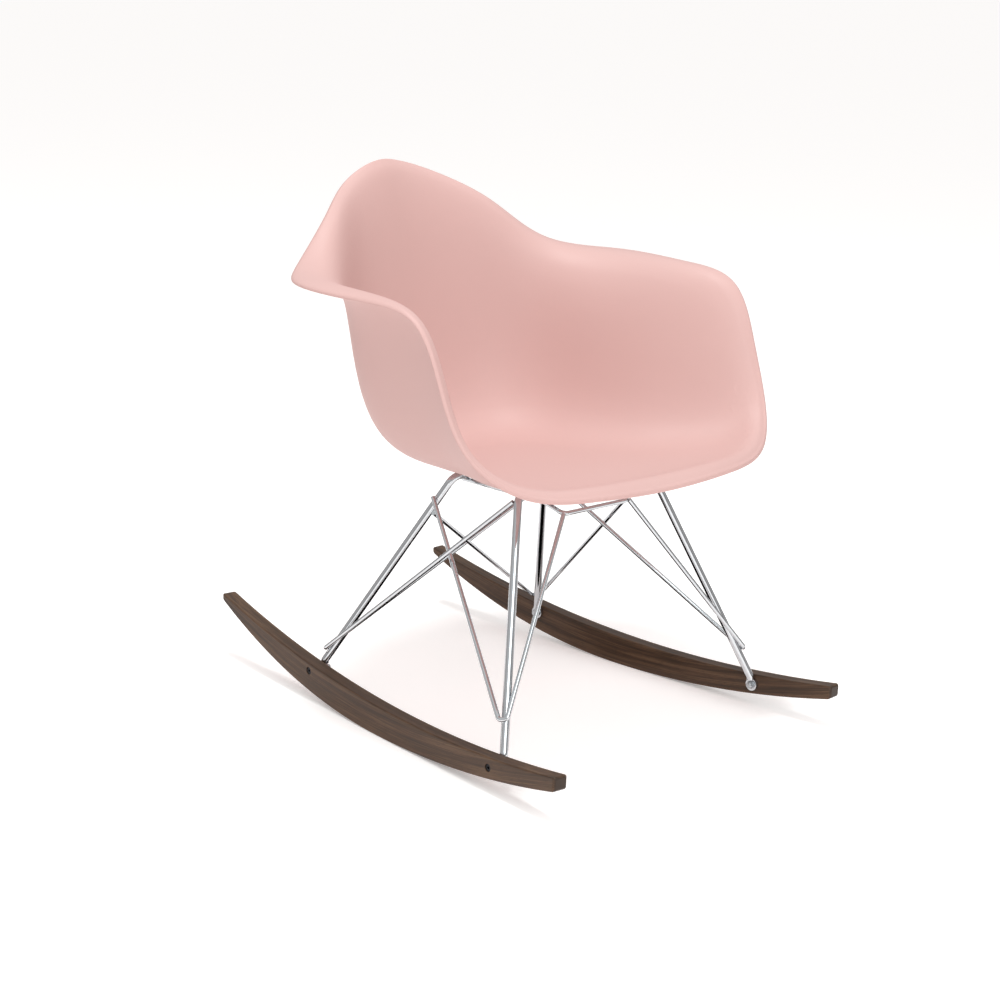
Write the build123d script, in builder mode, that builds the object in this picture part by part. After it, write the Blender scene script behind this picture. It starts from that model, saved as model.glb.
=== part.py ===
from build123d import *

import os
from math import comb, cos, radians, sin, sqrt

# Rocking armchair: a moulded bucket seat on a bent-rod base with two curved wooden runners.

os.makedirs("parts", exist_ok=True)

# The sitter faces -Y, +X is the sitter's left, Z is up, and the floor is Z = 0.

# --- driving dimensions, mm ---
shell_wall = 5.0
floor_height = 352.5            # inner seat floor at floor_pivot_y
floor_pivot_y = 25.0
floor_slope = 0.084             # the seat floor rises towards the front

rod_diameter = 11.0             # thick leg rods
wire_diameter = 6.4             # thin braces and rails
rod_bend_radius = 16.0
front_bar_y, front_bar_z = -127.0, 347.0
rear_bar_y, rear_bar_z = 39.0, 332.0
front_bar_half, rear_bar_half = 128.0, 90.0
front_foot = (245.2, -240.0, 46.0)      # where the slanting leg turns down beside the runner
rear_foot = (211.7, 161.0, 55.0)

runner_front, runner_rear = -371.0, 392.0   # tips, along the runner
runner_thickness = 22.0
runner_half_gap = 241.8         # centre plane of a runner at Y = 0
runner_toe = 4.8                # degrees, the runners spread towards the front
front_sole_radius, rear_sole_radius = 1520.0, 915.0     # both arcs touch the floor at Y = 0
top_low_y, top_low_z, top_radius = -69.0, 41.4, 1917.0
runner_edge = 2.0
edge_share = 0.45               # the edge is never rounder than this share of the height
nose_length, nose_radius = 5.0, 5.8
nose_shares = [0.0, 0.4, 0.7, 0.9, 1.0]
body_steps = 12

bolt_diameter = 6.0
bolt_heights = [(-241.5, 35.0), (163.0, 44.0)]      # along the runner, and above the floor
counterbore_diameter, counterbore_depth = 11.0, 6.0

pad_diameter, pad_height = 26.0, 8.0
tab_thickness, tab_width = 3.0, 30.0
screw_diameter = 6.0
tab_reach = 19.0                # from the bar's centre to the screw, towards the seat's middle
front_mount_x, rear_mount_x = 66.0, 51.5

rail_x = 64.0
rail_front_y, rail_front_z = -150.0, 317.0
rail_step_y, rail_step_z = -108.0, 326.5


# --- seat shell ---
# Each station, from the middle of the back round to the middle of the front, holds the rim's edge,
# the edge of the flat seat floor, how far out the floor and the wall reach on the way to the rim,
# how high the wall turns, and how far the rolled edge stands in from and above the rim.
shell_stations = [
    ((0, 298, 736), (0, 90), 0.57, 0.73, 0.08, 36, 12),
    ((86, 288, 713), (38, 86), 0.61, 0.74, 0.10, 48, 18),
    ((156, 246, 675), (66, 74), 0.66, 0.80, 0.18, 56, 14),
    ((236, 206, 619), (84, 52), 0.53, 0.71, 0.31, 104, 36),
    ((304, 125, 608), (93, 20), 0.44, 0.56, 0.34, 136, 36),
    ((308, -22, 607), (95, -16), 0.51, 0.57, 0.24, 84, 40),
    ((304, -110, 592), (93, -50), 0.58, 0.69, 0.18, 54, 18),
    ((300, -157, 515), (90, -78), 0.64, 0.77, 0.21, 35, 14),
    ((285, -198, 433), (82, -100), 0.66, 0.80, 0.35, 24, 14),
    ((237, -239, 389), (64, -118), 0.60, 0.85, 0.60, 26, 20),
    ((132, -269, 374), (34, -128), 0.55, 0.85, 0.60, 32, 26),
    ((0, -274, 370), (0, -131), 0.55, 0.85, 0.60, 34, 28),
]
ring_steps = [0.0, 0.07, 0.16, 0.27, 0.39, 0.51, 0.63, 0.74, 0.84, 0.92, 0.97, 1.0]


def floor_z(y):
    return floor_height - floor_slope * (y - floor_pivot_y)


def shell_controls(station):
    """Five Bezier control points from the seat floor out to the rim."""
    rim, edge, floor_reach, wall_reach, wall_height, roll_in, roll_up = station
    start = Vector(edge[0], edge[1], floor_z(edge[1]))
    end = Vector(*rim)
    across = Vector(end.X - start.X, end.Y - start.Y, 0)
    outward = across.normalized()
    foot = start + across * floor_reach
    foot = Vector(foot.X, foot.Y, floor_z(foot.Y))
    wall = start + across * wall_reach
    wall = Vector(wall.X, wall.Y, start.Z + (end.Z - start.Z) * wall_height)
    roll = end - outward * roll_in + Vector(0, 0, roll_up)
    return [start, foot, wall, roll, end]


def bezier(points, t):
    order = len(points) - 1
    total = Vector(0, 0, 0)
    for k, point in enumerate(points):
        total += point * (comb(order, k) * (1 - t) ** (order - k) * t**k)
    return total


def shell_ring(t):
    """Points round the shell at one step of the way out, right side first, then its mirror."""
    half = [bezier(shell_controls(station), t) for station in shell_stations]
    return half + [Vector(-p.X, p.Y, p.Z) for p in half[-2:0:-1]]


def offset_ring(t, distance, outward=0.0):
    """The ring moved square to the surface, down and away from the sitter, and out past the rim."""
    ring = shell_ring(t)
    if t == 0.0:
        floor_normal = Vector(0, floor_slope, 1).normalized()
        return [point - floor_normal * distance for point in ring]
    nearer = shell_ring(max(t - 0.01, 0.0))
    further = shell_ring(min(t + 0.01, 1.0))
    moved = []
    count = len(ring)
    for k, point in enumerate(ring):
        along = ring[(k + 1) % count] - ring[k - 1]
        out = (further[k] - nearer[k]).normalized()
        normal = along.cross(out).normalized()
        moved.append(point - normal * distance + out * outward)
    return moved


def ring_wire(points):
    return Wire([Edge.make_spline(points, periodic=True)])


def make_shell():
    sections = [ring_wire(shell_ring(t)) for t in ring_steps]
    lip = offset_ring(1.0, shell_wall / 2, shell_wall / 2)
    sections.append(ring_wire(lip))
    sections += [ring_wire(offset_ring(t, shell_wall)) for t in reversed(ring_steps)]
    return Solid.make_loft(sections)


# --- mount positions under the seat: (x, bar y, side towards the seat's middle, bar z) ---
front_mount_y = front_bar_y + tab_reach
rear_mount_y = rear_bar_y - tab_reach
mounts = {
    "front_left": (front_mount_x, front_mount_y, front_bar_z),
    "front_right": (-front_mount_x, front_mount_y, front_bar_z),
    "rear_left": (rear_mount_x, rear_mount_y, rear_bar_z),
    "rear_right": (-rear_mount_x, rear_mount_y, rear_bar_z),
}


def underside_z(y):
    return floor_z(y) - shell_wall


boss_diameter = 24.0
insert_diameter, insert_depth = 9.0, 5.0

with BuildPart() as seat_shell:
    add(make_shell())
    for x, y, bar_z in mounts.values():
        pad_top = bar_z + tab_thickness / 2 + pad_height
        with BuildSketch(Plane.XY.offset(pad_top)):
            with Locations((x, y)):
                Circle(boss_diameter / 2)
        extrude(amount=underside_z(y) + shell_wall / 2 - pad_top)
    for x, y, bar_z in mounts.values():
        pad_top = bar_z + tab_thickness / 2 + pad_height
        with BuildSketch(Plane.XY.offset(pad_top)):
            with Locations((x, y)):
                Circle(insert_diameter / 2)
        extrude(amount=insert_depth, mode=Mode.SUBTRACT)
seat_shell.part.label = "seat_shell"
export_step(seat_shell.part, "parts/seat_shell.step")


# --- mounting tabs, rubber pads, inserts and screws: one set at each mount ---
def make_tab(x, y, bar_y, bar_z):
    """A flat plate from the bar's side to past the screw, with a rounded free end."""
    toward = 1 if y > bar_y else -1
    inner_y = bar_y + toward * (rod_diameter / 2 - 0.3)
    with BuildPart() as tab:
        with BuildSketch(Plane.XY.offset(bar_z - tab_thickness / 2)):
            with Locations((x, (inner_y + y) / 2)):
                Rectangle(tab_width, abs(y - inner_y))
            with Locations((x, y)):
                Circle(tab_width / 2)
                Circle(screw_diameter / 2 + 0.3, mode=Mode.SUBTRACT)
        extrude(amount=tab_thickness)
    return tab.part


def make_pad(x, y, bar_z):
    with BuildPart() as pad:
        with BuildSketch(Plane.XY.offset(bar_z + tab_thickness / 2)):
            with Locations((x, y)):
                Circle(pad_diameter / 2)
                Circle(screw_diameter / 2 + 0.3, mode=Mode.SUBTRACT)
        extrude(amount=pad_height)
        fillet(pad.edges().filter_by(GeomType.CIRCLE).sort_by(SortBy.RADIUS)[-2:], 1.2)
    return pad.part


def make_insert(x, y, bar_z):
    """A threaded sleeve pressed into the shell's boss; the screw fills its bore."""
    with BuildPart() as insert:
        with BuildSketch(Plane.XY.offset(bar_z + tab_thickness / 2 + pad_height)):
            with Locations((x, y)):
                Circle(insert_diameter / 2)
                Circle(screw_diameter / 2, mode=Mode.SUBTRACT)
        extrude(amount=insert_depth)
    return insert.part


washer_thickness, washer_diameter = 1.5, 14.0
screw_head_height, screw_head_diameter = 4.0, 11.0


def make_screw(x, y, bar_z):
    """Shank up through washer, tab and pad into the insert, with a socket button head below."""
    head_top = bar_z - tab_thickness / 2 - washer_thickness
    shank = tab_thickness + washer_thickness + pad_height + insert_depth - 1.0
    with BuildPart() as screw:
        with BuildSketch(Plane.XY.offset(head_top - screw_head_height)):
            with Locations((x, y)):
                Circle(screw_head_diameter / 2)
        extrude(amount=screw_head_height)
        fillet(screw.faces().sort_by(Axis.Z)[0].edges(), 1.6)
        with BuildSketch(Plane.XY.offset(head_top)):
            with Locations((x, y)):
                Circle(screw_diameter / 2)
        extrude(amount=shank)
        with BuildSketch(Plane.XY.offset(head_top - screw_head_height)):
            with Locations((x, y)):
                RegularPolygon(2.2, 6)
        extrude(amount=2.4, mode=Mode.SUBTRACT)
    return screw.part


def make_washer(x, y, bar_z):
    with BuildPart() as washer:
        with BuildSketch(Plane.XY.offset(bar_z - tab_thickness / 2 - washer_thickness)):
            with Locations((x, y)):
                Circle(washer_diameter / 2)
                Circle(screw_diameter / 2 + 0.3, mode=Mode.SUBTRACT)
        extrude(amount=washer_thickness)
    return washer.part


def save(piece, name):
    piece.label = name
    export_step(piece, f"parts/{name}.step")


def save_group(pieces, name):
    save(Compound(children=pieces), name)


for name, (x, y, bar_z) in mounts.items():
    bar_y = front_bar_y if y < 0 else rear_bar_y
    save(make_tab(x, y, bar_y, bar_z), f"tab_{name}")
    save(make_pad(x, y, bar_z), f"pad_{name}")
save_group([make_insert(*place) for place in mounts.values()], "threaded_inserts")
save_group([make_screw(*place) for place in mounts.values()], "shell_screws")
save_group([make_washer(*place) for place in mounts.values()], "shell_screw_washers")


# --- runners ---
def sole_z(y):
    """Height of the runner's underside: two arcs that share a level tangent at Y = 0."""
    radius = front_sole_radius if y < 0 else rear_sole_radius
    return radius - sqrt(radius**2 - y**2)


def top_z(y):
    return top_low_z + top_radius - sqrt(top_radius**2 - (y - top_low_y) ** 2)


def runner_section(y, inset):
    """Rounded cross-section of the runner at y, made smaller all round by the inset."""
    height = top_z(y) - sole_z(y) - 2 * inset
    width = runner_thickness - 2 * inset
    middle = Plane(origin=(0, y, (top_z(y) + sole_z(y)) / 2), x_dir=(1, 0, 0), z_dir=(0, 1, 0))
    with BuildSketch(middle) as section:
        RectangleRounded(width, height, min(runner_edge, height * edge_share))
    return section.sketch


def nose_inset(step):
    return nose_radius - sqrt(nose_radius**2 - step**2)


def runner_solid(side):
    """side is +1 for the sitter's left runner and -1 for the right one."""
    body_front, body_rear = runner_front + nose_length, runner_rear - nose_length
    span = body_rear - body_front
    with BuildPart() as runner:
        loft([runner_section(body_front + span * k / body_steps, 0) for k in range(body_steps + 1)])
        for body_end, direction in ((body_front, -1), (body_rear, 1)):
            steps = [nose_length * share for share in nose_shares]
            loft([runner_section(body_end + direction * step, nose_inset(step)) for step in steps])
        for bolt_y, bolt_z in bolt_heights:
            outer = Plane(
                origin=(side * runner_thickness / 2, bolt_y, bolt_z),
                z_dir=(side, 0, 0),
            )
            with Locations(outer):
                CounterBoreHole(
                    bolt_diameter / 2 + 0.25,
                    counterbore_diameter / 2,
                    counterbore_depth,
                    depth=runner_thickness,
                )
    turned = runner.part.rotate(Axis.Z, side * runner_toe)
    return turned.moved(Location((side * runner_half_gap, 0, 0)))


for side, name in ((1, "left_runner"), (-1, "right_runner")):
    save(runner_solid(side), name)


# --- places on a runner: along it, up, and across from its centre plane towards the chair's middle ---
def on_runner(side, along, height, across):
    """Plane at that place whose normal points inwards, square to the runner's faces."""
    toe = radians(runner_toe)
    inward = Vector(-side * cos(toe), -sin(toe), 0)
    forward = Vector(-side * sin(toe), cos(toe), 0)
    origin = Vector(side * runner_half_gap, 0, height) + forward * along + inward * across
    return Plane(origin=origin, x_dir=forward, z_dir=inward)


bolt_places = [(side, y, z) for side in (1, -1) for y, z in bolt_heights]
half_runner = runner_thickness / 2


def disc(side, along, height, across, radius, thickness, bore=0.0):
    with BuildPart() as round_piece:
        with BuildSketch(on_runner(side, along, height, across)):
            Circle(radius)
            if bore:
                Circle(bore, mode=Mode.SUBTRACT)
        extrude(amount=thickness)
    return round_piece.part


# --- rods and wires: straight runs joined by tangent arcs ---
def bent_rod(points, radii, diameter):
    """A round rod along the points, bent at each inner point with the radius given for it."""
    with BuildPart() as rod:
        with BuildLine() as path:
            FilletPolyline(points, radius=radii)
        start = path.line @ 0
        with BuildSketch(Plane(origin=start, z_dir=path.line % 0)):
            Circle(diameter / 2)
        sweep(path=path.line)
    return rod.part


def mirrored_path(points):
    """Points from one foot to the middle, then back down to the other foot."""
    return points + [(-x, y, z) for x, y, z in reversed(points)]


eye_radius, eye_thickness = 9.0, 6.0


def leg_rod(foot, bar_half, bar_y, bar_z, bolt_y, bolt_z):
    """Leg, bar across under the seat, and leg, with flattened and drilled ends."""
    end = (foot[0], foot[1], bolt_z + eye_radius - 1.5)
    path = mirrored_path([end, foot, (bar_half, bar_y, bar_z)])
    rod = bent_rod(path, [8, rod_bend_radius, rod_bend_radius, 8], rod_diameter)
    for side in (1, -1):
        eye = disc(side, bolt_y, bolt_z, half_runner, eye_radius, eye_thickness)
        hole = disc(side, bolt_y, bolt_z, half_runner - 1, bolt_diameter / 2 + 0.25, eye_thickness + 6)
        rod = rod + eye - hole
    return rod


front_leg = (front_foot, front_bar_half, front_bar_y, front_bar_z)
rear_leg = (rear_foot, rear_bar_half, rear_bar_y, rear_bar_z)
save(leg_rod(*front_leg, *bolt_heights[0]), "front_leg_rod")
save(leg_rod(*rear_leg, *bolt_heights[1]), "rear_leg_rod")


def leg_point(leg, z):
    """Point on the slanting part of a left leg's centre line at height z."""
    foot, bar_half, bar_y, bar_z = leg
    share = (z - foot[2]) / (bar_z - foot[2])
    return Vector(foot[0] + share * (bar_half - foot[0]), foot[1] + share * (bar_y - foot[1]), z)


# --- thin braces: each is bent round a leg just above the runner and rises in two arms ---
brace_clear = (rod_diameter + wire_diameter) / 2 + 0.2
brace_half_width = 6.0
brace_bend = 5.0


def brace_path(leg, low_z, end_a, end_b):
    """Down one arm, across the outside of the leg, and up the other arm."""
    low = leg_point(leg, low_z)
    along = (leg_point(leg, low_z + 100) - low).normalized()
    sideways = (end_a - low).normalized() - (end_b - low).normalized()
    sideways = (sideways - along * sideways.dot(along)).normalized()
    outside = along.cross(sideways)
    if outside.X < 0:
        outside = outside * -1
    middle = low + outside * brace_clear
    return [end_a, middle + sideways * brace_half_width, middle - sideways * brace_half_width, end_b]


def to_side(points, side):
    return [Vector(side * p.X, p.Y, p.Z) for p in points]


def save_brace(points, side, name):
    save(bent_rod(to_side(points, side), [brace_bend, brace_bend], wire_diameter), name)


rail_corner = Vector(rail_x, rail_front_y, rail_front_z)
rear_leg_top = leg_point(rear_leg, 298.0) + Vector(0.884, 0.119, 0.454) * brace_clear
front_leg_top = leg_point(front_leg, 337.0) + Vector(0, brace_clear, 1.0)
across_leg = leg_point(rear_leg, 280.0)
across_leg = Vector(-across_leg.X, across_leg.Y, across_leg.Z)
cross_side = {1: Vector(0, -brace_clear, 0), -1: Vector(0, brace_clear, 0)}

for side, name in ((1, "left"), (-1, "right")):
    save_brace(brace_path(front_leg, 85.0, rail_corner, rear_leg_top), side, f"front_brace_{name}")
    cross_end = across_leg + cross_side[side]
    save_brace(brace_path(rear_leg, 69.0, front_leg_top, cross_end), side, f"rear_brace_{name}")

# --- cross wire: dips in front of the seat and runs back under the rear bar on both sides ---
rail_back_z = rear_bar_z - (rod_diameter + wire_diameter) / 2
rail_path = mirrored_path(
    [
        (rail_x, rear_bar_y + 8, rail_back_z),
        (rail_x, rail_step_y, rail_step_z),
        (rail_x, rail_front_y, rail_front_z),
    ]
)
save(bent_rod(rail_path, [20, 9, 9, 20], wire_diameter), "cross_wire")


# --- runner bolts: head sunk in the outer face, dome nut on the leg's eye ---
thin_washer = 1.0
head_height, head_radius = 4.0, 4.8
sink_floor = counterbore_depth - half_runner
nut_seat = half_runner + eye_thickness + thin_washer
nut_height, nut_radius = 6.5, 5.4


def make_bolt(side, along, height):
    under_head = sink_floor - thin_washer
    with BuildPart() as bolt:
        with BuildSketch(on_runner(side, along, height, under_head - head_height)):
            Circle(head_radius)
        extrude(amount=head_height)
        with BuildSketch(on_runner(side, along, height, under_head)):
            Circle(bolt_diameter / 2)
        extrude(amount=nut_seat + nut_height - 2.0 - under_head)
        with BuildSketch(on_runner(side, along, height, under_head - head_height)):
            RegularPolygon(2.2, 6)
        extrude(amount=2.4, mode=Mode.SUBTRACT)
    return bolt.part


def make_nut(side, along, height):
    """Hexagon with a domed end, bored for the bolt from the inner side."""
    with BuildPart() as nut:
        with BuildSketch(on_runner(side, along, height, nut_seat)):
            RegularPolygon(nut_radius, 6)
        extrude(amount=nut_height - 2.5)
        with BuildSketch(on_runner(side, along, height, nut_seat + nut_height - 2.5)):
            Circle(nut_radius * 0.82)
        extrude(amount=2.5, taper=28)
        with BuildSketch(on_runner(side, along, height, nut_seat)):
            Circle(bolt_diameter / 2)
        extrude(amount=nut_height - 1.6, mode=Mode.SUBTRACT)
    return nut.part


washer_bore = bolt_diameter / 2 + 0.2
save_group([make_bolt(*place) for place in bolt_places], "runner_bolts")
save_group([make_nut(*place) for place in bolt_places], "runner_nuts")
save_group(
    [disc(*place, sink_floor - thin_washer, 5.2, thin_washer, washer_bore) for place in bolt_places],
    "runner_bolt_washers",
)
save_group(
    [disc(*place, nut_seat - thin_washer, 6.5, thin_washer, washer_bore) for place in bolt_places],
    "runner_nut_washers",
)
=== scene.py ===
import math

import bpy
from mathutils import Matrix, Vector


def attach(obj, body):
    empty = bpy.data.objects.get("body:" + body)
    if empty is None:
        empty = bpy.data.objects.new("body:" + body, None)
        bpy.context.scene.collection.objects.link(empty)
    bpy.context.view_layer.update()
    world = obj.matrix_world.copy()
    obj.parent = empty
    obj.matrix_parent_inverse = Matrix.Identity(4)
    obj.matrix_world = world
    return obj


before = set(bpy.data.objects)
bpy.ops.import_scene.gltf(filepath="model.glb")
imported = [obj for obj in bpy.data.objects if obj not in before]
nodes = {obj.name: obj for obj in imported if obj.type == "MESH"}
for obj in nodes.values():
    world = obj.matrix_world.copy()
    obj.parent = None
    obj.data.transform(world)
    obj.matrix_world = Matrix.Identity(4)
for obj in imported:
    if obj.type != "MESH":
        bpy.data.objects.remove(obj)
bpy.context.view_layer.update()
print("frame loaded:", len(nodes), "nodes")

millimetre = 0.001
scene = bpy.context.scene


def linearColour(hexText, alpha=1.0):
    channels = [int(hexText[k:k + 2], 16) / 255 for k in (1, 3, 5)]
    return [c / 12.92 if c <= 0.04045 else ((c + 0.055) / 1.055) ** 2.4 for c in channels] + [alpha]


def addNode(tree, kind, settings=None, links=None):
    # links maps an input's name or number to the socket that feeds it; a value is set as it is
    node = tree.nodes.new("ShaderNode" + kind)
    for name, value in (settings or {}).items():
        setattr(node, name, value)
    for name, value in (links or {}).items():
        if isinstance(value, bpy.types.NodeSocket):
            tree.links.new(value, node.inputs[name])
        else:
            node.inputs[name].default_value = value
    return node


def fillRamp(ramp, stops):
    # stops are (place, colour) pairs in order
    elements = ramp.color_ramp.elements
    elements[0].position, elements[1].position = stops[0][0], stops[-1][0]
    elements[0].color, elements[1].color = stops[0][1], stops[-1][1]
    for place, colour in stops[1:-1]:
        elements.new(place).color = colour


def newMaterial(name):
    material = bpy.data.materials.new(name)
    material.use_nodes = True
    material.node_tree.nodes.clear()
    return material, material.node_tree


def dress(names, material):
    for name in names:
        mesh = nodes[name].data
        if mesh.materials:
            for k in range(len(mesh.materials)):
                mesh.materials[k] = material
        else:
            mesh.materials.append(material)


# seat shell: polypropylene, moulded in a lightly etched tool and coloured through
shellPlastic = {
    "colour": "#C7A09B",
    "paler": "#CAA49F",
    "roughness": 0.52,
    "etchSize": 0.55,        # mm, width of one etched grain, coarser than the real 0.15 so that it shows
    "flowSize": 240.0,       # mm, slow drift of tone where the melt cooled
    "bump": 0.035,
}


def makeShellPlastic():
    # gives a soft satin sheen with no sharp highlights and a barely uneven skin
    material, tree = newMaterial("mouldedPolypropylene")
    place = addNode(tree, "TexCoord").outputs["Object"]
    drift = addNode(tree, "TexNoise", None, {
        "Vector": place, "Scale": 1000 / shellPlastic["flowSize"], "Detail": 1.0})
    tone = addNode(tree, "Mix", {"data_type": "RGBA"}, {
        "Factor": drift.outputs["Fac"],
        "A": linearColour(shellPlastic["colour"]),
        "B": linearColour(shellPlastic["paler"])})
    etch = addNode(tree, "TexNoise", None, {
        "Vector": place, "Scale": 1000 / shellPlastic["etchSize"], "Detail": 2.0, "Roughness": 0.6})
    bump = addNode(tree, "Bump", None, {
        "Height": etch.outputs["Fac"], "Strength": shellPlastic["bump"], "Distance": 0.2 * millimetre})
    gloss = addNode(tree, "MapRange", None, {
        "Value": etch.outputs["Fac"], "To Min": shellPlastic["roughness"] - 0.04,
        "To Max": shellPlastic["roughness"] + 0.05})
    shader = addNode(tree, "BsdfPrincipled", None, {
        "Base Color": tone.outputs["Result"], "Roughness": gloss.outputs["Result"],
        "IOR": 1.49, "Specular IOR Level": 0.3, "Normal": bump.outputs["Normal"]})
    addNode(tree, "OutputMaterial", None, {"Surface": shader.outputs["BSDF"]})
    return material


# runners: American walnut, bent from straight laths and oiled
walnut = {
    "dark": "#302013",
    "mid": "#483120",
    "light": "#5F4632",
    "endGrain": "#2B1D14",
    "fibreWidth": 1.1,       # mm across the grain, a bundle of fibres, as single ones are too fine to show
    "fibreLength": 75.0,     # mm along it
    "figureWidth": 7.0,      # mm between the darker bands of growth
    "figureLength": 260.0,
    "poreWidth": 0.6,
    "poreLength": 10.0,
    "roughness": 0.5,
    "toe": 4.8,              # degrees that the runners spread
    "bendRadius": 1200.0,    # mm, the curve that the laths were bent to
}


def makeWalnut():
    # gives long dark brown fibres that follow the runner, short pores and darker end grain at the noses
    material, tree = newMaterial("oiledWalnut")
    place = addNode(tree, "TexCoord").outputs["Object"]
    split = addNode(tree, "SeparateXYZ", None, {"Vector": place})
    x, y, z = split.outputs["X"], split.outputs["Y"], split.outputs["Z"]
    mirrored = addNode(tree, "Math", {"operation": "ABSOLUTE"}, {0: x})
    across = addNode(tree, "Math", {"operation": "MULTIPLY_ADD"}, {
        0: y, 1: math.tan(math.radians(walnut["toe"])), 2: mirrored.outputs["Value"]})
    squared = addNode(tree, "Math", {"operation": "MULTIPLY"}, {0: y, 1: y})
    flattened = addNode(tree, "Math", {"operation": "MULTIPLY_ADD"}, {
        0: squared.outputs["Value"], 1: -500 / walnut["bendRadius"], 2: z})
    side = addNode(tree, "Math", {"operation": "SIGN"}, {0: x})
    # each runner is cut from its own board, so its grain starts elsewhere along the tree
    along = addNode(tree, "Math", {"operation": "ADD"}, {0: y, 1: side.outputs["Value"]})
    board = addNode(tree, "CombineXYZ", None, {
        "X": across.outputs["Value"], "Y": along.outputs["Value"], "Z": flattened.outputs["Value"]})

    def grainNoise(width, length, detail):
        mapped = addNode(tree, "Mapping", None, {
            "Vector": board.outputs["Vector"], "Scale": (1000 / width, 1000 / length, 1000 / width)})
        return addNode(tree, "TexNoise", None, {
            "Vector": mapped.outputs["Vector"], "Scale": 1.0, "Detail": detail}).outputs["Fac"]

    fibre = grainNoise(walnut["fibreWidth"], walnut["fibreLength"], 3.0)
    figure = grainNoise(walnut["figureWidth"], walnut["figureLength"], 2.0)
    pores = grainNoise(walnut["poreWidth"], walnut["poreLength"], 1.0)
    fibreShare = addNode(tree, "Math", {"operation": "MULTIPLY"}, {0: fibre, 1: 0.5})
    grain = addNode(tree, "Math", {"operation": "MULTIPLY_ADD"}, {
        0: figure, 1: 0.5, 2: fibreShare.outputs["Value"]})
    ramp = addNode(tree, "ValToRGB", None, {"Fac": grain.outputs["Value"]})
    fillRamp(ramp, [
        (0.36, linearColour(walnut["dark"])),
        (0.5, linearColour(walnut["mid"])),
        (0.64, linearColour(walnut["light"]))])
    poreMask = addNode(tree, "MapRange", None, {
        "Value": pores, "From Min": 0.6, "From Max": 0.68, "To Min": 0.0, "To Max": 0.5})
    withPores = addNode(tree, "Mix", {"data_type": "RGBA"}, {
        "Factor": poreMask.outputs["Result"], "A": ramp.outputs["Color"],
        "B": linearColour(walnut["dark"])})
    facing = addNode(tree, "SeparateXYZ", None, {
        "Vector": addNode(tree, "NewGeometry").outputs["Normal"]})
    endwards = addNode(tree, "Math", {"operation": "ABSOLUTE"}, {0: facing.outputs["Y"]})
    endMask = addNode(tree, "MapRange", None, {
        "Value": endwards.outputs["Value"], "From Min": 0.4, "From Max": 0.8,
        "To Min": 0.0, "To Max": 0.8})
    withEnds = addNode(tree, "Mix", {"data_type": "RGBA"}, {
        "Factor": endMask.outputs["Result"], "A": withPores.outputs["Result"],
        "B": linearColour(walnut["endGrain"])})
    bump = addNode(tree, "Bump", None, {
        "Height": grain.outputs["Value"], "Strength": 0.35, "Distance": 0.2 * millimetre})
    rough = addNode(tree, "MapRange", None, {
        "Value": fibre, "To Min": walnut["roughness"] - 0.08, "To Max": walnut["roughness"] + 0.1})
    shader = addNode(tree, "BsdfPrincipled", None, {
        "Base Color": withEnds.outputs["Result"], "Roughness": rough.outputs["Result"],
        "IOR": 1.5, "Specular IOR Level": 0.35, "Normal": bump.outputs["Normal"]})
    addNode(tree, "OutputMaterial", None, {"Surface": shader.outputs["BSDF"]})
    return material


# rods, wires and tabs: drawn steel, bent, welded and chrome plated, gives sharp lines of the studio
chromePlate = {
    "name": "chromePlatedSteel",
    "colour": "#C9CBCE",
    "roughness": 0.06,
    "spread": 0.04,
    "waveSize": 14.0,        # mm, slight waviness of the drawn rod under the plating
    "waveDepth": 0.02,
}

# nuts and washers: gives a duller grey with broad highlights
zincPlate = {
    "name": "zincPlatedSteel", "colour": "#B9BBBE", "roughness": 0.22, "spread": 0.12,
    "waveSize": 6.0, "waveDepth": 0.04,
}

# bolts and screws: gives near black heads with a faint oily sheen
blackOxide = {
    "name": "blackOxideSteel", "colour": "#2A2A2C", "roughness": 0.34, "spread": 0.14,
    "waveSize": 4.0, "waveDepth": 0.04,
}

# inserts: gives a yellow gleam inside the bosses
brass = {
    "name": "turnedBrass", "colour": "#B48A45", "roughness": 0.25, "spread": 0.1,
    "waveSize": 3.0, "waveDepth": 0.04,
}


def makeMetal(metal):
    material, tree = newMaterial(metal["name"])
    place = addNode(tree, "TexCoord").outputs["Object"]
    wave = addNode(tree, "TexNoise", None, {
        "Vector": place, "Scale": 1000 / metal["waveSize"], "Detail": 2.0})
    bump = addNode(tree, "Bump", None, {
        "Height": wave.outputs["Fac"], "Strength": 0.3, "Distance": metal["waveDepth"] * millimetre})
    rough = addNode(tree, "MapRange", None, {
        "Value": wave.outputs["Fac"], "To Min": metal["roughness"],
        "To Max": metal["roughness"] + metal["spread"]})
    shader = addNode(tree, "BsdfPrincipled", None, {
        "Base Color": linearColour(metal["colour"]), "Metallic": 1.0,
        "Roughness": rough.outputs["Result"], "Normal": bump.outputs["Normal"]})
    addNode(tree, "OutputMaterial", None, {"Surface": shader.outputs["BSDF"]})
    return material


# pads: moulded rubber
rubber = {
    "dark": "#141414",
    "dusty": "#242424",
    "roughness": 0.62,
    "grainSize": 0.7,        # mm
}


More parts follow.
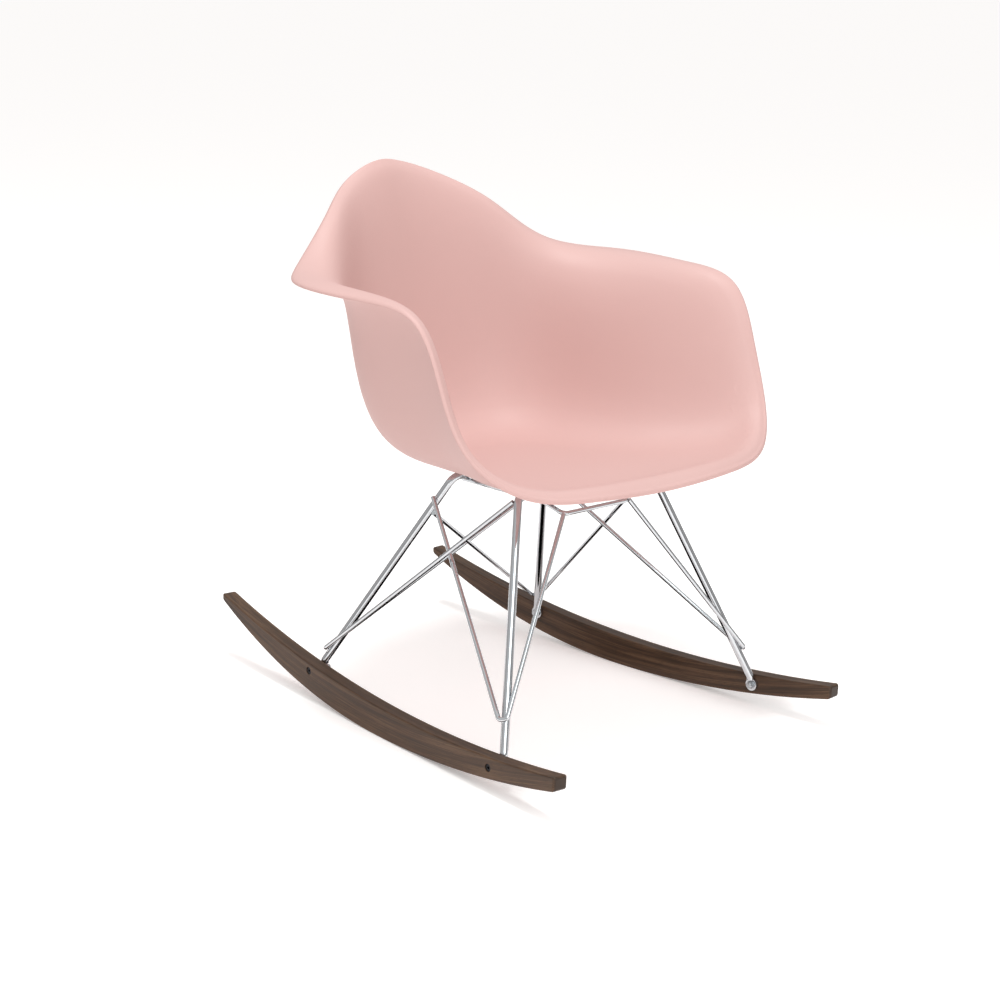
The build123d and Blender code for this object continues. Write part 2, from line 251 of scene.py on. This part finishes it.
def makeRubber():
    # gives a dull black with a faint dusty grain
    material, tree = newMaterial("mouldedRubber")
    place = addNode(tree, "TexCoord").outputs["Object"]
    grain = addNode(tree, "TexNoise", None, {
        "Vector": place, "Scale": 1000 / rubber["grainSize"], "Detail": 2.0})
    ramp = addNode(tree, "ValToRGB", None, {"Fac": grain.outputs["Fac"]})
    fillRamp(ramp, [(0.3, linearColour(rubber["dark"])), (0.75, linearColour(rubber["dusty"]))])
    bump = addNode(tree, "Bump", None, {
        "Height": grain.outputs["Fac"], "Strength": 0.3, "Distance": 0.1 * millimetre})
    shader = addNode(tree, "BsdfPrincipled", None, {
        "Base Color": ramp.outputs["Color"], "Roughness": rubber["roughness"], "IOR": 1.52,
        "Normal": bump.outputs["Normal"]})
    addNode(tree, "OutputMaterial", None, {"Surface": shader.outputs["BSDF"]})
    return material


shellMaterial = makeShellPlastic()
walnutMaterial = makeWalnut()
chromeMaterial = makeMetal(chromePlate)
zincMaterial = makeMetal(zincPlate)
blackOxideMaterial = makeMetal(blackOxide)
brassMaterial = makeMetal(brass)
rubberMaterial = makeRubber()

dress(["seat_shell"], shellMaterial)
dress(["left_runner", "right_runner"], walnutMaterial)
dress(["front_leg_rod", "rear_leg_rod", "front_brace_left", "front_brace_right",
       "rear_brace_left", "rear_brace_right", "cross_wire",
       "tab_front_left", "tab_front_right", "tab_rear_left", "tab_rear_right"], chromeMaterial)
dress(["runner_nuts", "runner_nut_washers", "shell_screw_washers"], zincMaterial)
dress(["runner_bolts", "runner_bolt_washers", "shell_screws"], blackOxideMaterial)
dress(["threaded_inserts"], brassMaterial)
dress(["pad_front_left", "pad_front_right", "pad_rear_left", "pad_rear_right"], rubberMaterial)
print("materials set on the frame's nodes")


# weld beads: where each wire crosses a rod, and along both sides of each seat tab
weldBead = {
    "radius": 1.7,
    "length": 9.0,
    "ripples": 5,
    "rippleDepth": 0.16,     # share of the radius
    "rodRadius": 5.5,
    # foot and bar end of the two left leg rods, mm
    "frontLeg": ((245.2, -240.0, 46.0), (128.0, -127.0, 347.0)),
    "rearLeg": ((211.7, 161.0, 55.0), (90.0, 39.0, 332.0)),
    "railX": 64.0,
    "rearBar": (39.0, 332.0),
    "frontBar": (-127.0, 347.0),
    "frontTabX": 66.0,
    "rearTabX": 51.5,
    "outerSide": (0.884, 0.119, 0.454),
    # heights on the legs where the braces touch them
    "frontBraceLow": 85.0,
    "rearBraceLow": 69.0,
    "frontBraceTop": 298.0,
    "rearBraceTop": 337.0,
    "crossBraceTop": 280.0,
    # a tab's weld stands off the bar's centre by this much sideways and up or down
    "tabAway": 5.2,
    "tabAbove": 1.9,
}


def legPoint(leg, height):
    foot, top = Vector(leg[0]), Vector(leg[1])
    return foot + (top - foot) * (height - foot.z) / (top.z - foot.z)


def makeBead():
    # one bead, along Z about the origin, thinner at its ends, with the ripples of the weld pool
    bpy.ops.object.select_all(action="DESELECT")
    bpy.ops.mesh.primitive_cylinder_add(vertices=12, radius=weldBead["radius"] * millimetre,
                                        depth=weldBead["length"] * millimetre)
    bead = bpy.context.object
    bpy.ops.object.mode_set(mode="EDIT")
    cuts = 2 * weldBead["ripples"]
    for k in range(1, cuts):
        height = (k / cuts - 0.5) * weldBead["length"] * millimetre
        bpy.ops.mesh.select_all(action="SELECT")
        bpy.ops.mesh.bisect(plane_co=(0, 0, height), plane_no=(0, 0, 1))
    bpy.ops.object.mode_set(mode="OBJECT")
    half = weldBead["length"] * millimetre / 2
    for corner in bead.data.vertices:
        share = corner.co.z / half
        step = round((share + 1) / 2 * cuts)
        ripple = 1 - weldBead["rippleDepth"] * (step % 2)
        width = max(1 - share ** 4, 0.12) * ripple
        corner.co.x *= width
        corner.co.y *= width
    smooth = bead.modifiers.new("smooth", "SUBSURF")
    smooth.levels = smooth.render_levels = 1
    bpy.ops.object.modifier_apply(modifier="smooth")
    bpy.ops.object.shade_smooth()
    return bead


def beadPlaces():
    # each place is (centre, direction along the bead, length share), in mm
    front, rear = weldBead["frontLeg"], weldBead["rearLeg"]
    radius = weldBead["rodRadius"]
    rearY, rearZ = weldBead["rearBar"]
    frontUp = (Vector(front[1]) - Vector(front[0])).normalized()
    rearUp = (Vector(rear[1]) - Vector(rear[0])).normalized()
    frontOut = Vector((frontUp.z, 0, -frontUp.x)).normalized()
    rearOut = Vector((rearUp.z, 0, -rearUp.x)).normalized()
    places = [
        (legPoint(front, weldBead["frontBraceLow"]) + frontOut * radius, frontUp, 1.0),
        (legPoint(rear, weldBead["rearBraceLow"]) + rearOut * radius, rearUp, 1.0),
        (legPoint(rear, weldBead["frontBraceTop"]) + Vector(weldBead["outerSide"]) * radius, rearUp, 1.2),
        (legPoint(front, weldBead["rearBraceTop"]) + Vector((0, radius, 0)), frontUp, 1.2),
        (legPoint(rear, weldBead["crossBraceTop"]) + Vector((0, radius, 0)), rearUp, 1.0),
        (Vector((weldBead["railX"], rearY, rearZ - radius)), Vector((1, 0, 0)), 0.9)]
    for tabX, (barY, barZ), toward in (
            (weldBead["frontTabX"], weldBead["frontBar"], 1), (weldBead["rearTabX"], weldBead["rearBar"], -1)):
        for above in (1, -1):
            centre = Vector((tabX, barY + toward * weldBead["tabAway"], barZ + above * weldBead["tabAbove"]))
            places.append((centre, Vector((1, 0, 0)), 3.0))
    return places


def makeWelds():
    bead = makeBead()
    copies = []
    for centre, along, stretch in beadPlaces():
        for side in (1, -1):
            copy = bead.copy()
            copy.data = bead.data.copy()
            scene.collection.objects.link(copy)
            there = Vector((side * centre.x, centre.y, centre.z)) * millimetre
            heading = Vector((side * along.x, along.y, along.z)).to_track_quat("Z", "X").to_matrix().to_4x4()
            lengthen = Matrix.Diagonal((1, 1, stretch, 1))
            copy.data.transform(Matrix.Translation(there) @ heading @ lengthen)
            copies.append(copy)
    bpy.data.objects.remove(bead)
    bpy.ops.object.select_all(action="DESELECT")
    for copy in copies:
        copy.select_set(True)
    bpy.context.view_layer.objects.active = copies[0]
    bpy.ops.object.join()
    welds = bpy.context.object
    welds.name = "weldBeads"
    welds.data.materials.append(chromeMaterial)
    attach(welds, "root")


makeWelds()
print("welds made")


# studio: pale floor, soft light from all round and above, and dark flags that only gloss sees
studio = {
    "floorSize": 80.0,
    "floorColour": "#F7F3F2",
    "floorGlow": 0.3,
    "horizon": 0.42,
    "horizonTint": (1.0, 0.965, 0.955, 1.0),
    "zenith": 0.9,
    "zenithTint": (0.95, 1.0, 1.0, 1.0),
    "lampColour": (0.94, 1.0, 1.0),
    "topLight": {"at": (-0.35, 0.1, 3.4), "size": 0.7, "power": 52.0},
    "keyLight": {"at": (-1.5, -2.9, 2.4), "size": 2.6, "power": 60.0},
    "flagColour": "#0B0B0C",
    "flags": [
        {"yaw": 44.5 + 62.0, "away": 1.5, "width": 0.42, "height": 1.1},
        {"yaw": 44.5 - 50.0, "away": 1.5, "width": 0.34, "height": 1.1},
        {"yaw": 44.5 + 118.0, "away": 1.6, "width": 0.14, "height": 1.0}],
    "floorFlag": 0.22,
}

bpy.ops.object.select_all(action="DESELECT")
bpy.ops.mesh.primitive_plane_add(size=studio["floorSize"], location=(0, 0, 0))
floor = bpy.context.object
floor.name = "studioFloor"
# gives an even white that takes faint shadows
floorMaterial, floorTree = newMaterial("paleFloor")
floorShader = addNode(floorTree, "BsdfPrincipled", None, {
    "Base Color": linearColour(studio["floorColour"]), "Roughness": 0.9, "Specular IOR Level": 0.0,
    "Emission Color": linearColour(studio["floorColour"]), "Emission Strength": studio["floorGlow"]})
addNode(floorTree, "OutputMaterial", None, {"Surface": floorShader.outputs["BSDF"]})
floor.data.materials.append(floorMaterial)

# gives the chrome its dark lines
flagMaterial, flagTree = newMaterial("blackFelt")
flagShader = addNode(flagTree, "BsdfPrincipled", None, {
    "Base Color": linearColour(studio["flagColour"]), "Roughness": 1.0, "Specular IOR Level": 0.0})
addNode(flagTree, "OutputMaterial", None, {"Surface": flagShader.outputs["BSDF"]})


def stageFlag(name):
    flag = bpy.context.object
    flag.name = name
    flag.data.materials.append(flagMaterial)
    flag.visible_camera = False
    flag.visible_diffuse = False
    flag.visible_shadow = False
    flag.visible_transmission = False


for count, flag in enumerate(studio["flags"]):
    yaw = math.radians(flag["yaw"])
    bpy.ops.mesh.primitive_plane_add(
        size=1, location=(flag["away"] * math.sin(yaw), flag["away"] * math.cos(yaw), flag["height"] / 2),
        rotation=(math.pi / 2, 0, -yaw))
    bpy.context.object.scale = (flag["width"], flag["height"], 1)
    stageFlag(f"flag{count}")
bpy.ops.mesh.primitive_circle_add(vertices=48, radius=studio["floorFlag"], fill_type="NGON",
                                  location=(0, 0, 0.5 * millimetre))
stageFlag("floorFlag")

world = bpy.data.worlds.new("softStudio")
scene.world = world
world.use_nodes = True
sky = world.node_tree.nodes["Background"]
upwards = addNode(world.node_tree, "SeparateXYZ", None, {
    "Vector": addNode(world.node_tree, "TexCoord").outputs["Generated"]})
brightness = addNode(world.node_tree, "MapRange", None, {
    "Value": upwards.outputs["Z"], "From Min": 0.0, "From Max": 0.9,
    "To Min": studio["horizon"], "To Max": studio["zenith"]})
world.node_tree.links.new(brightness.outputs["Result"], sky.inputs["Strength"])
tint = addNode(world.node_tree, "Mix", {"data_type": "RGBA"}, {
    "Factor": upwards.outputs["Z"], "A": studio["horizonTint"], "B": studio["zenithTint"]})
world.node_tree.links.new(tint.outputs["Result"], sky.inputs["Color"])


def addAreaLight(name, settings, target):
    data = bpy.data.lights.new(name, "AREA")
    data.shape = "DISK"
    data.size = settings["size"]
    data.energy = settings["power"]
    data.color = studio["lampColour"]
    light = bpy.data.objects.new(name, data)
    scene.collection.objects.link(light)
    light.location = settings["at"]
    light.rotation_euler = (Vector(target) - Vector(settings["at"])).to_track_quat("-Z", "Y").to_euler()
    return light


addAreaLight("topLight", studio["topLight"], (0, 0, 0.3))
addAreaLight("keyLight", studio["keyLight"], (0, 0, 0.4))

scene.view_settings.view_transform = "Standard"
print("studio set")

# camera: a little above the arms, looking at the chair's front right corner
view = {
    "at": (-2.1219, -2.1233, 1.0984),
    "yaw": 44.4798,          # degrees from +Y towards +X
    "pitch": 15.0427,        # degrees down
    "roll": 2.54,
    "lens": 79.76,
    "sensor": 36.0,
}
cameraData = bpy.data.cameras.new("mainCamera")
cameraData.lens = view["lens"]
cameraData.sensor_width = view["sensor"]
cameraData.clip_end = 200.0
camera = bpy.data.objects.new("mainCamera", cameraData)
scene.collection.objects.link(camera)
turn = (Matrix.Rotation(math.radians(-view["yaw"]), 4, "Z")
        @ Matrix.Rotation(math.radians(90 - view["pitch"]), 4, "X")
        @ Matrix.Rotation(math.radians(view["roll"]), 4, "Z"))
camera.matrix_world = Matrix.Translation(view["at"]) @ turn
scene.camera = camera
print("camera set")
